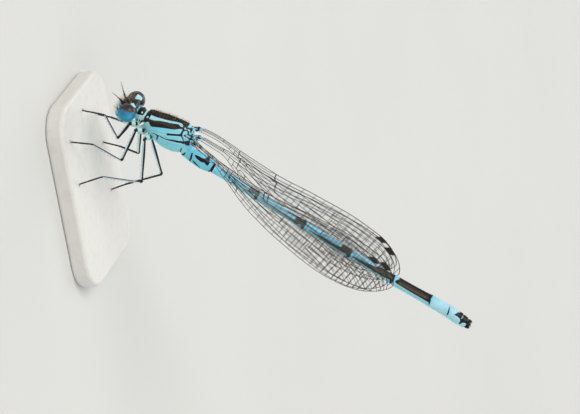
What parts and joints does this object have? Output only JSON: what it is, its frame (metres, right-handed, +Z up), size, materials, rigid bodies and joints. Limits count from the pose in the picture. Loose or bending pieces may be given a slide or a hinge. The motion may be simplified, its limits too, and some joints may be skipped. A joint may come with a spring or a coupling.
{
  "type": "damselfly",
  "caption": "Slender blue and black damselfly at rest on a small flat base, tail raised, clear veined wings folded back along its abdomen.",
  "frame": {"origin": "middle of the base's underside, on the surface the part stands on", "axes": "+Z up from that surface, +X along it from the head's side to the tail's side, -Y on the insect's left"},
  "size_m": [0.0233, 0.012, 0.0315],
  "materials": {
    "body": "satin blue cuticle with black markings",
    "eye": "glossy, dark brown above and teal blue below",
    "antenna": "satin black",
    "wing": "clear membrane with a net of black veins",
    "leg": "black with a pale blue stripe",
    "base": "matte off-white"
  },
  "bodies": {
    "root": {"head": "body", "prothorax": "body", "thorax": "body", "appendages": "body", "abdomen_01": "body", "abdomen_02": "body", "abdomen_03": "body", "abdomen_04": "body", "abdomen_05": "body", "abdomen_06": "body", "abdomen_07": "body", "abdomen_08": "body", "abdomen_09": "body", "abdomen_10": "body", "eye_left": "eye", "eye_right": "eye", "antenna_left": "antenna", "antenna_right": "antenna", "wing_fore_left": "wing", "wing_fore_right": "wing", "wing_hind_left": "wing", "wing_hind_right": "wing", "leg_front_left_coxa": "leg", "leg_front_left_femur": "leg", "leg_front_left_tibia": "leg", "leg_front_left_tarsus": "leg", "leg_front_right_coxa": "leg", "leg_front_right_femur": "leg", "leg_front_right_tibia": "leg", "leg_front_right_tarsus": "leg", "leg_mid_left_coxa": "leg", "leg_mid_left_femur": "leg", "leg_mid_left_tibia": "leg", "leg_mid_left_tarsus": "leg", "leg_mid_right_coxa": "leg", "leg_mid_right_femur": "leg", "leg_mid_right_tibia": "leg", "leg_mid_right_tarsus": "leg", "leg_hind_left_coxa": "leg", "leg_hind_left_femur": "leg", "leg_hind_left_tibia": "leg", "leg_hind_left_tarsus": "leg", "leg_hind_right_coxa": "leg", "leg_hind_right_femur": "leg", "leg_hind_right_tibia": "leg", "leg_hind_right_tarsus": "leg", "stand_base": "base"}
  },
  "joints": []
}
